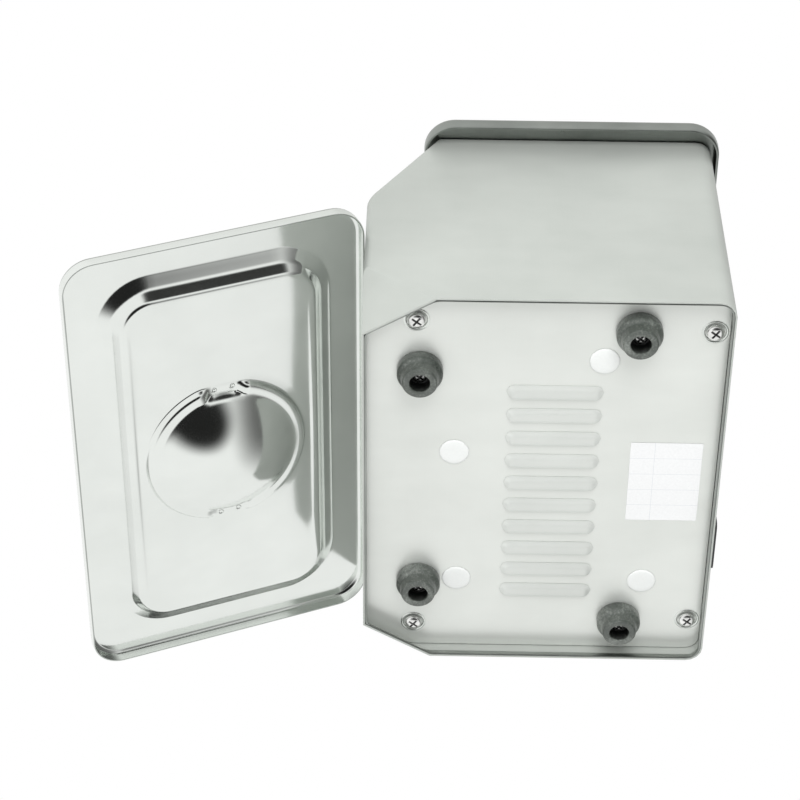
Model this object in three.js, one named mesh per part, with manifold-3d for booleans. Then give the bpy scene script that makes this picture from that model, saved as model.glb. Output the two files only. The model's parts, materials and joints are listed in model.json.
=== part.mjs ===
// Paraffin wax bath: stainless casing on four rubber feet, drop-in quarter-size pan and plug lid.
// Millimetres, +Z up, front towards -Y. The lid leans on the front of the casing.
import * as THREE from 'three';
import { mergeVertices } from 'three/addons/utils/BufferGeometryUtils.js';
import { ConvexGeometry } from 'three/addons/geometries/ConvexGeometry.js';
import Module from 'manifold-3d';

const wasm = await Module();
wasm.setup();

// ---------------------------------------------------------------- driving dimensions
const SHEET = 1.0;               // casing sheet
const GAP = 0.3;                 // running gap between separate pieces
const CASE_W = 240;              // X
const CASE_D = 188;              // Y
const LIP_Z = 4;                 // lower edge of the casing above the table
const CASE_TOP = 161;            // top of the casing
const SLOPE_Z = 96.4;            // where the front starts to lean back
const SLOPE_RUN = 31.6;          // the lean: run in Y ...
const SLOPE_RISE = 53.6;         // ... for this rise in Z
const FRONT_R = 4;
const REAR_R = 9;
const FACET_X = 22;              // corner relief at the lip, along X
const FACET_Y = 37;              // corner relief at the lip, along Y
const FACET_Z = 31;              // corner relief, up the vertical corner

const PLATE_Z = 13;              // underside of the recessed bottom plate
const PLATE_T = 1.0;
const FOOT_TOP_R = 12;
const FOOT_TIP_R = 9.2;
const FOOT_BORE_R = 5.2;
const FEET = [['front_right', 70, -64.5], ['front_left', -71.5, -64], ['rear_right', 96, 46.5], ['rear_left', -97.5, 47]];
const PLATE_SCREWS = [['front_right', 101, -66.5], ['front_left', -102.5, -66.5],
  ['rear_right', 96, 85], ['rear_left', -97.5, 85]];
const PLUGS = [['a', 77, 30], ['b', 17, -46], ['c', -70, -43.2], ['d', -70, 58]];
const PLUG_HOLE_R = 6;
const PLUG_R = 7.85;
const LOUVRES = 10;
const LOUVRE_PITCH = 14.9;
const LOUVRE_X0 = 57;
const LOUVRE_Y = 5.5;              // middle of the louvres
const LOUVRE_LEN = 47;
const LOUVRE_W = 6.6;
const LOUVRE_H = 2.6;
const LABEL = { x: -1, y: 65.6, w: 52, d: 38, t: 0.2 };

const RIM_W = 265;               // quarter-size gastronorm outline
const RIM_D = 162;
const RIM_R = 17;
const RIM_TOP = 162.6;
const RIM_HEM = 9.5;
const PAN_Y = 16.6;              // middle of the pan, towards the rear
const PAN_W = 233;
const PAN_D = 131;
const PAN_R = 34;
const PAN_DEPTH = 100;
const PAN_T = 0.8;
const OPENING_CLEAR = 1;         // casing opening round the pan body

const LID_T = 0.8;
const LID_HEM = 7.5;
const LID_TILT = THREE.MathUtils.degToRad(23);
const LID_SHIFT_X = 3;
const LID_PLUG_DEPTH = 9;
const DISH_R = 44.5;
const DISH_LEDGE = 3;
const DOME_R = 37;
const DOME_DEPTH = 12;

const KNOB_X = 48;
const SWITCH_X = -48;
const CONTROL_V = 31;            // controls, measured up the slope from its lower edge
const INLET_X = -51.5;
const INLET_Z = 32;

// ---------------------------------------------------------------- helpers
function toSolid(geometry) {
  const g = geometry.clone();
  g.deleteAttribute('normal');
  g.deleteAttribute('uv');
  const merged = mergeVertices(g, 1e-4);
  const mesh = new wasm.Mesh({
    numProp: 3,
    vertProperties: new Float32Array(merged.attributes.position.array),
    triVerts: new Uint32Array(merged.index.array),
  });
  return new wasm.Manifold(mesh);
}

function toGeometry(solid) {
  const mesh = solid.getMesh();
  const g = new THREE.BufferGeometry();
  g.setAttribute('position', new THREE.BufferAttribute(new Float32Array(mesh.vertProperties), 3));
  g.setIndex(new THREE.BufferAttribute(new Uint32Array(mesh.triVerts), 1));
  const flat = g.toNonIndexed();
  flat.computeVertexNormals();
  return flat;
}

function cut(base, ...tools) {
  let solid = toSolid(base);
  for (const tool of tools) {
    solid = solid.subtract(toSolid(tool));
  }
  return toGeometry(solid);
}

function box(x0, x1, y0, y1, z0, z1) {
  const g = new THREE.BoxGeometry(x1 - x0, y1 - y0, z1 - z0);
  g.translate((x0 + x1) / 2, (y0 + y1) / 2, (z0 + z1) / 2);
  return g;
}

function cylinder(r, z0, z1, x = 0, y = 0, segments = 24) {
  const g = new THREE.CylinderGeometry(r, r, z1 - z0, segments);
  g.rotateX(Math.PI / 2);
  g.translate(x, y, (z0 + z1) / 2);
  return g;
}

// Turned piece about Z. Profile points are [radius, z], ordered bottom to top on the outside.
function turned(profile, segments = 20) {
  const g = new THREE.LatheGeometry(profile.map(([r, z]) => new THREE.Vector2(r, z)), segments);
  g.rotateX(Math.PI / 2);
  return g;
}

function prism(points, z0, z1, holes = []) {
  const shape = new THREE.Shape(points.map(([x, y]) => new THREE.Vector2(x, y)));
  for (const hole of holes) {
    shape.holes.push(new THREE.Path(hole.map(([x, y]) => new THREE.Vector2(x, y))));
  }
  const g = new THREE.ExtrudeGeometry(shape, { depth: z1 - z0, bevelEnabled: false });
  g.translate(0, 0, z0);
  return g;
}

// Rounded rectangle outline, counter-clockwise, with its own radius at the -Y and +Y corners.
function outline(w, d, frontR, rearR = frontR, steps = 5, cx = 0, cy = 0) {
  const points = [];
  const corners = [[1, 1, rearR, 0], [-1, 1, rearR, 90], [-1, -1, frontR, 180], [1, -1, frontR, 270]];
  for (const [sx, sy, r, start] of corners) {
    for (let i = 0; i <= steps; i += 1) {
      const a = THREE.MathUtils.degToRad(start + (90 * i) / steps);
      points.push([cx + sx * (w / 2 - r) + r * Math.cos(a), cy + sy * (d / 2 - r) + r * Math.sin(a)]);
    }
  }
  return points;
}

// Circle with the same point count and order as outline(), for blending into it.
function round(r, steps = 4) {
  const points = [];
  for (let corner = 0; corner < 4; corner += 1) {
    for (let i = 0; i <= steps; i += 1) {
      const a = THREE.MathUtils.degToRad(corner * 90 + 4 + (82 * i) / steps);
      points.push([r * Math.cos(a), r * Math.sin(a)]);
    }
  }
  return points;
}

// Closed skin through a stack of rings [points, z], capped at the first and the last ring.
function loft(rings) {
  const n = rings[0][0].length;
  const positions = [];
  const index = [];
  for (const [points, z] of rings) {
    for (const [x, y] of points) {
      positions.push(x, y, z);
    }
  }
  for (let k = 0; k + 1 < rings.length; k += 1) {
    for (let i = 0; i < n; i += 1) {
      const j = (i + 1) % n;
      const a = k * n + i;
      const b = k * n + j;
      const c = (k + 1) * n + i;
      const d = (k + 1) * n + j;
      index.push(a, b, d, a, d, c);
    }
  }
  const first = positions.length / 3;
  positions.push(0, 0, rings[0][1]);
  positions.push(0, 0, rings[rings.length - 1][1]);
  for (let i = 0; i < n; i += 1) {
    const j = (i + 1) % n;
    index.push(first, j, i);
    index.push(first + 1, (rings.length - 1) * n + i, (rings.length - 1) * n + j);
  }
  const g = new THREE.BufferGeometry();
  g.setAttribute('position', new THREE.Float32BufferAttribute(positions, 3));
  g.setIndex(index);
  g.computeVertexNormals();
  return g;
}

function swept(path, r, segments, sides = 10) {
  const shape = new THREE.Shape();
  for (let i = 0; i < sides; i += 1) {
    const a = (2 * Math.PI * i) / sides;
    if (i === 0) shape.moveTo(r, 0);
    else shape.lineTo(r * Math.cos(a), r * Math.sin(a));
  }
  return new THREE.ExtrudeGeometry(shape, { steps: segments, bevelEnabled: false, extrudePath: path });
}

// Polyline with rounded corners.
function roundedPath(points, r) {
  const path = new THREE.CurvePath();
  const v = points.map((p) => new THREE.Vector3(...p));
  let from = v[0];
  for (let i = 1; i < v.length - 1; i += 1) {
    const before = v[i].clone().add(v[i - 1].clone().sub(v[i]).setLength(r));
    const after = v[i].clone().add(v[i + 1].clone().sub(v[i]).setLength(r));
    path.add(new THREE.LineCurve3(from, before));
    path.add(new THREE.QuadraticBezierCurve3(before, v[i], after));
    from = after;
  }
  path.add(new THREE.LineCurve3(from, v[v.length - 1]));
  return path;
}

const COLOURS = {
  steel: 0xc9cdcb, polished: 0xd9dcdd, rubber: 0x2e302f, screw: 0xb9bbbd, white: 0xf0f0ec, black: 0x1d1d1f,
  amber: 0xe08a1c, brass: 0xc9a24d, aluminium: 0xc3c6c9, felt: 0xd8d2c0, ceramic: 0xe9e4d8, paper: 0xf7f7f4,
};

function piece(name, geometry, colour, parent) {
  const metal = ['steel', 'polished', 'screw', 'brass', 'aluminium'].includes(colour);
  const material = new THREE.MeshStandardMaterial({
    color: COLOURS[colour],
    metalness: metal ? 1 : 0,
    roughness: metal ? 0.35 : 0.6,
  });
  const mesh = new THREE.Mesh(geometry, material);
  mesh.name = name;
  parent.add(mesh);
  return mesh;
}

// ---------------------------------------------------------------- root
const root = new THREE.Group();
root.name = 'paraffin_wax_bath';
const bath = new THREE.Group();
root.add(bath);

// ---------------------------------------------------------------- casing
const slopeAngle = Math.atan2(SLOPE_RISE, SLOPE_RUN);
const slopeNormal = [-Math.sin(slopeAngle), Math.cos(slopeAngle)];

function caseSolid(inset, bottom) {
  const top = CASE_TOP - inset;
  const halfD = CASE_D / 2 - inset;
  const plan = prism(
    outline(CASE_W - 2 * inset, CASE_D - 2 * inset, FRONT_R - inset, REAR_R - inset, 4), bottom, top);
  // Side profile [y, z]; the slope moves in along its own normal.
  const onSlope = [-CASE_D / 2 - inset * slopeNormal[0], SLOPE_Z - inset * slopeNormal[1]];
  const yAt = (z) => onSlope[0] + ((z - onSlope[1]) * SLOPE_RUN) / SLOPE_RISE;
  const zAt = (y) => onSlope[1] + ((y - onSlope[0]) * SLOPE_RISE) / SLOPE_RUN;
  const side = [[-halfD, bottom - 5], [halfD + 5, bottom - 5], [halfD + 5, top + 5],
    [yAt(top + 5), top + 5], [-halfD, zAt(-halfD)]];
  const profile = prism(side, -CASE_W, CASE_W);
  // Extruded along Z with x = y_case, y = z_case; turn it so that it runs along X.
  const m = new THREE.Matrix4().set(0, 0, 1, 0, 1, 0, 0, 0, 0, 1, 0, 0, 0, 0, 0, 1);
  profile.applyMatrix4(m);
  let solid = toSolid(plan).intersect(toSolid(profile));
  for (const s of [1, -1]) {
    solid = solid.subtract(toSolid(facetTool(s, inset)));
  }
  return solid;
}

// Everything beyond the flat relief on a lower front corner.
function facetTool(s, inset) {
  const a = new THREE.Vector3(s * (CASE_W / 2 - FACET_X), -CASE_D / 2, LIP_Z);
  const b = new THREE.Vector3(s * (CASE_W / 2), -CASE_D / 2 + FACET_Y, LIP_Z);
  const c = new THREE.Vector3(s * (CASE_W / 2), -CASE_D / 2, LIP_Z + FACET_Z);
  const corner = new THREE.Vector3(s * (CASE_W / 2), -CASE_D / 2, LIP_Z);
  const plane = new THREE.Plane().setFromCoplanarPoints(a, b, c);
  const n = plane.normal.clone();
  if (plane.distanceToPoint(corner) < 0) {
    n.negate();
  }
  const middle = a.clone().add(b).add(c).divideScalar(3);
  const points = [a, b, c].map((p) => middle.clone().add(p.clone().sub(middle).multiplyScalar(3)));
  points.push(middle.clone().addScaledVector(n, 90));
  for (const p of points) {
    p.addScaledVector(n, -inset);
  }
  return new ConvexGeometry(points);
}

function makeCasing() {
  let solid = caseSolid(0, LIP_Z).subtract(caseSolid(SHEET, LIP_Z - 8));
  // Pan opening in the top.
  const opening = prism(outline(PAN_W + 2 * OPENING_CLEAR, PAN_D + 2 * OPENING_CLEAR,
    PAN_R + OPENING_CLEAR, PAN_R + OPENING_CLEAR, 4, 0, PAN_Y), CASE_TOP - 5, CASE_TOP + 5);
  solid = solid.subtract(toSolid(opening));
  // Corner tabs that take the bottom plate screws.
  const tabZ = PLATE_Z + PLATE_T + GAP;
  for (const [, x, y] of PLATE_SCREWS) {
    const s = Math.sign(x);
    const rear = y > 0;
    const xs = [rear ? s * 88 : s * 92, s * (CASE_W / 2 - 0.5)].sort((p, q) => p - q);
    const ys = rear ? [y - 8, CASE_D / 2 - 0.5] : [y - 9, y + 8];
    let tab = toSolid(box(xs[0], xs[1], ys[0], ys[1], tabZ, tabZ + 1.2));
    tab = tab.intersect(caseSolid(SHEET / 2, LIP_Z - 8));
    tab = tab.subtract(toSolid(cylinder(1.9, tabZ - 2, tabZ + 4, x, y, 16)));
    solid = solid.add(tab);
  }
  // Control holes in the slope.
  const toSlope = slopeMatrix();
  const tools = [cylinder(5, -4, 4, KNOB_X, CONTROL_V), cylinder(4.2, -4, 4, 0, CONTROL_V),
    box(SWITCH_X - 9.8, SWITCH_X + 9.8, CONTROL_V - 6.8, CONTROL_V + 6.8, -4, 4)];
  for (const tool of tools) {
    tool.applyMatrix4(toSlope);
    solid = solid.subtract(toSolid(tool));
  }
  // Mains inlet hole in the rear wall.
  solid = solid.subtract(toSolid(box(INLET_X - 14.2, INLET_X + 14.2, CASE_D / 2 - 5, CASE_D / 2 + 5,
    INLET_Z - 10.7, INLET_Z + 10.7)));
  return toGeometry(solid);
}

function slopeMatrix() {
  const m = new THREE.Matrix4().makeRotationX(slopeAngle);
  m.setPosition(0, -CASE_D / 2, SLOPE_Z);
  return m;
}

piece('casing', makeCasing(), 'steel', bath);

// ---------------------------------------------------------------- bottom plate
function louvreHood(x) {
  // Sloping hood pressed outwards, below the plate, open along its -X edge, closed at both ends.
  const t = 0.8;
  const w = LOUVRE_W - 0.4;
  const h = LOUVRE_H;
  const sheetProfile = [[-0.8, -0.5], [0.8, -0.5], [2.6, h - t], [w, h], [w, h + t], [2.2, h], [-0.8, 0.6]];
  const cheekProfile = [[-0.8, -0.5], [w, -0.5], [w, h + t], [2.2, h], [-0.8, 0.6]];
  const half = LOUVRE_LEN / 2;
  const parts = [prism(sheetProfile, -half, half), prism(cheekProfile, -half - 0.8, -half + 0.4),
    prism(cheekProfile, half - 0.4, half + 0.8)];
  // Profile is [towards -X, downwards]; the length runs along Y.
  const m = new THREE.Matrix4().set(
    -1, 0, 0, x + LOUVRE_W / 2, 0, 0, -1, LOUVRE_Y, 0, -1, 0, PLATE_Z, 0, 0, 0, 1);
  const all = parts.map((g) => toSolid(g.applyMatrix4(m)));
  return all[0].add(all[1]).add(all[2]);
}

function makePlate() {
  const inset = SHEET + GAP;
  const slab = toSolid(box(-CASE_W, CASE_W, -CASE_D, CASE_D, PLATE_Z, PLATE_Z + PLATE_T));
  let solid = slab.intersect(caseSolid(inset, LIP_Z - 8));
  const holes = [];
  for (const [, x, y] of FEET) {
    holes.push(cylinder(2.2, PLATE_Z - 2, PLATE_Z + 3, x, y, 16));
  }
  for (const [, x, y] of PLATE_SCREWS) {
    holes.push(cylinder(2.2, PLATE_Z - 2, PLATE_Z + 3, x, y, 16));
  }
  for (const [, x, y] of PLUGS) {
    holes.push(cylinder(PLUG_HOLE_R, PLATE_Z - 2, PLATE_Z + 3, x, y, 24));
  }
  for (let i = 0; i < LOUVRES; i += 1) {
    const x = LOUVRE_X0 - i * LOUVRE_PITCH;
    holes.push(box(x - LOUVRE_W / 2 - 0.4, x + LOUVRE_W / 2 - 0.4, LOUVRE_Y - LOUVRE_LEN / 2,
      LOUVRE_Y + LOUVRE_LEN / 2, PLATE_Z - 2, PLATE_Z + 3));
  }
  for (const hole of holes) {
    solid = solid.subtract(toSolid(hole));
  }
  for (let i = 0; i < LOUVRES; i += 1) {
    solid = solid.add(louvreHood(LOUVRE_X0 - i * LOUVRE_PITCH));
  }
  return toGeometry(solid);
}

piece('bottom_plate', makePlate(), 'steel', bath);

for (const [name, x, y] of FEET) {
  const top = PLATE_Z - 0.1;
  const foot = turned([[2.2, 8], [FOOT_BORE_R, 8], [FOOT_BORE_R, 0.4], [FOOT_BORE_R + 0.4, 0],
    [FOOT_TIP_R - 0.6, 0], [FOOT_TIP_R, 0.6], [9.8, 5.4], [FOOT_TOP_R, 7.6], [FOOT_TOP_R, top], [2.2, top],
    [2.2, 8]], 20);
  piece(`foot_${name}`, foot, 'rubber', bath).position.set(x, y, 0);
  const screw = turned([[0, 5.5], [2.6, 5.6], [3.6, 6.4], [3.8, 7.8], [1.9, 7.8], [1.9, 18.6], [0, 18.6]], 16);
  const cross = [box(-0.45, 0.45, -2.2, 2.2, 5, 6.9), box(-2.2, 2.2, -0.45, 0.45, 5, 6.9)];
  piece(`foot_screw_${name}`, cut(screw, ...cross), 'screw', bath).position.set(x, y, 0);
  const nut = cut(new THREE.CylinderGeometry(3.9, 3.9, 2.8, 6).rotateX(Math.PI / 2), cylinder(2.05, -3, 3, 0, 0, 16));
  piece(`foot_nut_${name}`, nut, 'screw', bath).position.set(x, y, PLATE_Z + PLATE_T + 0.1 + 1.4);
}

for (const [name, x, y] of PLATE_SCREWS) {
  const z = PLATE_Z - 0.1;
  const head = turned([[0, z - 2.4], [2.4, z - 2.2], [3.9, z - 1.2], [4.1, z], [1.6, z], [1.6, z + 8], [0, z + 8]], 20);
  const cross = [box(-0.5, 0.5, -2.4, 2.4, z - 4, z - 0.9), box(-2.4, 2.4, -0.5, 0.5, z - 4, z - 0.9)];
  piece(`plate_screw_${name}`, cut(head, ...cross), 'screw', bath).position.set(x, y, 0);
}

for (const [name, x, y] of PLUGS) {
  const z = PLATE_Z - 0.1;
  const plug = turned([[0, z - 0.9], [PLUG_R - 0.8, z - 0.9], [PLUG_R, z - 0.3], [PLUG_R, z], [5.6, z],
    [5.6, z + 3], [0, z + 3]]);
  piece(`hole_plug_${name}`, plug, 'white', bath).position.set(x, y, 0);
}

piece('rating_label', box(LABEL.x - LABEL.w / 2, LABEL.x + LABEL.w / 2, LABEL.y - LABEL.d / 2,
  LABEL.y + LABEL.d / 2, PLATE_Z - 0.1 - LABEL.t, PLATE_Z - 0.1), 'paper', bath);

// ---------------------------------------------------------------- pan
const grow = (w, d, r) => outline(w, d, r, r, 4);

function makePan() {
  const t = PAN_T;
  const h = RIM_HEM;
  const rings = [
    [grow(PAN_W - 44, PAN_D - 44, 20), -PAN_DEPTH + t],
    [grow(PAN_W - 26, PAN_D - 26, 26), -PAN_DEPTH + t + 2],
    [grow(PAN_W - 18, PAN_D - 18, 29), -PAN_DEPTH + t + 8],
    [grow(PAN_W - 2 * t, PAN_D - 2 * t, PAN_R - t), -4],
    [grow(PAN_W + 0.4, PAN_D + 0.4, PAN_R), -1],
    [grow(PAN_W + 4, PAN_D + 4, PAN_R + 1), 0],
    [grow(RIM_W - 4, RIM_D - 4, RIM_R - 2), 0],
    [grow(RIM_W - 1, RIM_D - 1, RIM_R - 0.5), -0.6],
    [grow(RIM_W, RIM_D, RIM_R), -2.2],
    [grow(RIM_W, RIM_D, RIM_R), -h],
    [grow(RIM_W - 2 * t, RIM_D - 2 * t, RIM_R - t), -h],
    [grow(RIM_W - 2 * t, RIM_D - 2 * t, RIM_R - t), -2.4],
    [grow(RIM_W - 4.4, RIM_D - 4.4, RIM_R - 2), -t - 0.1],
    [grow(PAN_W + 1.4, PAN_D + 1.4, PAN_R + 0.5), -t - 0.1],
    [grow(PAN_W + 0.8, PAN_D + 0.8, PAN_R + 0.4), -4],
    [grow(PAN_W - 16.6, PAN_D - 16.6, 29.7), -PAN_DEPTH + 8],
    [grow(PAN_W - 25, PAN_D - 25, 26.5), -PAN_DEPTH + 1.6],
    [grow(PAN_W - 44, PAN_D - 44, 20), -PAN_DEPTH],
  ];
  return loft(rings.reverse());
}

piece('pan', makePan(), 'polished', bath).position.set(0, PAN_Y, RIM_TOP);

// ---------------------------------------------------------------- lid, leaning on the casing front
const lid = new THREE.Group();
bath.add(lid);
lid.rotation.x = LID_TILT;
lid.position.set(
  LID_SHIFT_X,
  -CASE_D / 2 - GAP - (RIM_D / 2) * Math.cos(LID_TILT) - LID_HEM * Math.sin(LID_TILT),
  (RIM_D / 2) * Math.sin(LID_TILT) + LID_HEM * Math.cos(LID_TILT),
);

function makeLid() {
  const t = LID_T;
  const floor = -LID_PLUG_DEPTH;
  const ledge = floor - DISH_LEDGE;
  const plugW = PAN_W - 4;
  const plugD = PAN_D - 4;
  const dome = (f) => [round(DOME_R * f), ledge - DOME_DEPTH * (1 - f * f)];
  const domeUnder = (f) => [round((DOME_R + 0.2) * f), ledge - t - DOME_DEPTH * (1 - f * f)];
  const rings = [
    dome(0.2), dome(0.42), dome(0.62), dome(0.8), dome(0.92), dome(1),
    [round(DISH_R - 1.6), ledge],
    [round(DISH_R), floor],
    [grow(plugW - 27, plugD - 27, 15), floor],
    [grow(plugW - 21, plugD - 21, 18), floor + 1],
    [grow(plugW - 5, plugD - 5, 27), -1.2],
    [grow(plugW, plugD, 29), 0],
    [grow(RIM_W - 3, RIM_D - 3, RIM_R - 1.5), 0],
    [grow(RIM_W, RIM_D, RIM_R), -1.5],
    [grow(RIM_W, RIM_D, RIM_R), -LID_HEM],
    [grow(RIM_W - 2 * t, RIM_D - 2 * t, RIM_R - t), -LID_HEM],
    [grow(RIM_W - 2 * t, RIM_D - 2 * t, RIM_R - t), -1.8],
    [grow(RIM_W - 4, RIM_D - 4, RIM_R - 2), -t],
    [grow(plugW + 0.6, plugD + 0.6, 29.3), -t],
    [grow(plugW - 4, plugD - 4, 27.5), -2],
    [grow(plugW - 19.6, plugD - 19.6, 18.8), floor + 0.4],
    [grow(plugW - 26.4, plugD - 26.4, 15.4), floor - t],
    [round(DISH_R + t), floor - t],
    [round(DISH_R - 1), ledge - t],
    domeUnder(1), domeUnder(0.92), domeUnder(0.8), domeUnder(0.62), domeUnder(0.42), domeUnder(0.2),
  ];
  return loft(rings.reverse());
}

piece('lid', makeLid(), 'polished', lid);

function makeHandle() {
  // Flat strap across the dish: low ends, arched middle.
  const t = 1.5;
  const z = -LID_PLUG_DEPTH + 0.15;
  const top = [[-54, z + t], [-43, z + t], [-34, z + t + 3.5], [34, z + t + 3.5], [43, z + t], [54, z + t]];
  const under = [[54, z], [42.4, z], [33.4, z + 3.5], [-33.4, z + 3.5], [-42.4, z], [-54, z]];
  const g = prism([...under.reverse(), ...top.reverse()], -10, 10);
  const m = new THREE.Matrix4().set(1, 0, 0, 0, 0, 0, -1, 0, 0, 1, 0, 0, 0, 0, 0, 1);
  g.applyMatrix4(m);
  return g;
}

piece('lid_handle', makeHandle(), 'polished', lid);

// ---------------------------------------------------------------- heating, under the pan
const heaterTop = RIM_TOP - PAN_DEPTH - 0.4;
piece('heater_plate', prism(outline(184, 92, 20, 20, 4, 0, PAN_Y), heaterTop - 3, heaterTop), 'aluminium', bath);
const elementZ = heaterTop - 3 - 3.25 - 0.2;
const elementPath = roundedPath([[-14, -46, elementZ], [-14, -18, elementZ], [-70, -18, elementZ],
  [-70, 51, elementZ], [70, 51, elementZ], [70, -18, elementZ], [14, -18, elementZ], [14, -46, elementZ]], 12);
piece('heater_element', swept(elementPath, 3.25, 46, 7), 'steel', bath);
const padTop = elementZ - 3.25 - 3;
piece('insulation_pad', prism(outline(156, 88, 6, 6, 2, 0, PAN_Y), padTop - 5, padTop), 'felt', bath);
piece('heat_shield', box(-95, 95, PAN_Y - 50, PAN_Y + 50, padTop - 6.3, padTop - 5.3), 'aluminium', bath);
for (const [name, x, y] of [['fr', 84, -34], ['fl', -84, -34], ['rr', 84, 34], ['rl', -84, 34]]) {
  piece(`heater_post_${name}`, cylinder(3, padTop - 5, heaterTop - 3.3, x, PAN_Y + y, 12), 'screw', bath);
  piece(`shield_standoff_${name}`, new THREE.CylinderGeometry(4, 4, padTop - 6.6 - PLATE_Z - PLATE_T - GAP, 6)
    .rotateX(Math.PI / 2).translate(x, PAN_Y + y * 0.9, (padTop - 6.6 + PLATE_Z + PLATE_T + GAP) / 2), 'brass', bath);
}
piece('thermal_cutout', cylinder(9, elementZ - 3, heaterTop - 3.3, 0, PAN_Y + 14, 20), 'black', bath);
piece('terminal_block', box(-112, -96, -22, 22, PLATE_Z + PLATE_T + GAP, 29), 'ceramic', bath);

// ---------------------------------------------------------------- controls on the slope
const slope = new THREE.Group();
bath.add(slope);
slope.rotation.x = slopeAngle;
slope.position.set(0, -CASE_D / 2, SLOPE_Z);
const v = CONTROL_V;

const panelHoles = [outline(13, 13, 6.4, 6.4, 5, KNOB_X, v), outline(9.6, 9.6, 4.7, 4.7, 4, 0, v),
  outline(20.4, 14.4, 0.6, 0.6, 1, SWITCH_X, v)].map((h) => h.reverse());
piece('control_panel', prism(outline(168, 50, 4, 4, 3, 0, v), 0.1, 0.9, panelHoles), 'white', slope);

const thermostat = toSolid(box(KNOB_X - 17, KNOB_X + 17, v - 17, v + 17, -26, -SHEET - 0.8))
  .add(toSolid(cylinder(4.6, -3, 3.4, KNOB_X, v)))
  .subtract(toSolid(cylinder(3.3, -12, 6, KNOB_X, v)));
piece('thermostat_body', toGeometry(thermostat), 'black', slope);
const nut = cut(new THREE.CylinderGeometry(8, 8, 2, 6).rotateX(Math.PI / 2), cylinder(4.8, -3, 3));
piece('thermostat_nut', nut, 'brass', slope).position.set(KNOB_X, v, 1.2 + 1);
piece('knob_shaft', cylinder(3, -10, 16, KNOB_X, v, 16), 'steel', slope);
const knobShape = turned([[3.15, 4.2], [15.6, 4.2], [17, 5], [17, 8], [14, 10.5], [12.6, 19], [11, 20.5], [0, 20.5],
  [0, 16.3], [3.15, 16.3], [3.15, 4.2]], 28);
const knobPointer = box(-1.1, 1.1, 5, 13.4, 19.9, 21.1);
const knob = toGeometry(toSolid(knobShape).add(toSolid(knobPointer)));
piece('thermostat_knob', knob, 'black', slope).position.set(KNOB_X, v, 0);

piece('thermostat_bulb', cylinder(2.6, -34, 34, 0, 0, 12).rotateY(Math.PI / 2)
  .translate(0, PAN_Y - 16, elementZ), 'brass', bath);

const lampBezel = turned([[3.2, -14], [3.9, -14], [3.9, 1.1], [6.4, 1.1], [6.4, 2.2], [5.6, 3], [4.7, 3], [4.7, 2.1],
  [3.2, 2.1], [3.2, -14]], 20);
piece('lamp_bezel', lampBezel, 'steel', slope).position.set(0, v, 0);
piece('lamp_lens', turned([[0, 2.4], [4.3, 2.4], [4.3, 3.2], [3.2, 4.8], [0, 5.4]], 20), 'amber', slope).position.set(0, v, 0);

const switchBody = toSolid(box(-11.5, 11.5, -8.5, 8.5, 1.0, 2.6))
  .add(toSolid(box(-9.6, 9.6, -6.6, 6.6, -20, 1.5)))
  .subtract(toSolid(box(-8.3, 8.3, -5.2, 5.2, -7, 6)));
piece('switch_body', toGeometry(switchBody), 'black', slope).position.set(SWITCH_X, v, 0);
const rockerProfile = [[-7.5, 3.0], [-6.7, -1.2], [-3.6, -4.4], [3.6, -4.4], [6.7, -1.2], [7.5, 3.0], [0, 1.5]];
const rocker = prism(rockerProfile, -4.9, 4.9);
// Profile [x, z] pivots about the slope's vertical direction.
rocker.applyMatrix4(new THREE.Matrix4().set(1, 0, 0, 0, 0, 0, -1, 0, 0, 1, 0, 0, 0, 0, 0, 1));
const rockerMesh = piece('switch_rocker', rocker, 'black', slope);
rockerMesh.position.set(SWITCH_X, v, 1.4);
rockerMesh.rotation.y = THREE.MathUtils.degToRad(8);

// ---------------------------------------------------------------- mains inlet on the rear
const inlet = new THREE.Group();
bath.add(inlet);
inlet.position.set(INLET_X, CASE_D / 2, INLET_Z);
const inletFlange = prism(outline(33, 25, 4, 4, 3), 0, 3.2);
inletFlange.rotateX(-Math.PI / 2);
const inletSolid = toSolid(inletFlange.translate(0, GAP, 0))
  .add(toSolid(box(-13.8, 13.8, -16, 2, -10.2, 10.2)))
  .subtract(toSolid(box(-12.2, 12.2, -14, 9, -8.4, 8.4)));
piece('mains_inlet', toGeometry(inletSolid), 'black', inlet);
for (const [name, x, z] of [['earth', 0, 3.2], ['live', -5.2, -1.2], ['neutral', 5.2, -1.2]]) {
  piece(`inlet_pin_${name}`, box(x - 1, x + 1, -13.8, -2.5, z - 2, z + 2), 'screw', inlet);
}

// ---------------------------------------------------------------- origin: middle of the footprint
root.updateMatrixWorld(true);
const bounds = new THREE.Box3().setFromObject(root, true);
bath.position.set(-(bounds.min.x + bounds.max.x) / 2, -(bounds.min.y + bounds.max.y) / 2, -bounds.min.z);
root.updateMatrixWorld(true);

export default root;
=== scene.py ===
"""Looks of the paraffin wax bath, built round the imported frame. Metres, +Z up, front towards -Y."""

import json
import math

import bmesh
import bpy
from mathutils import Matrix, Vector

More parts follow.
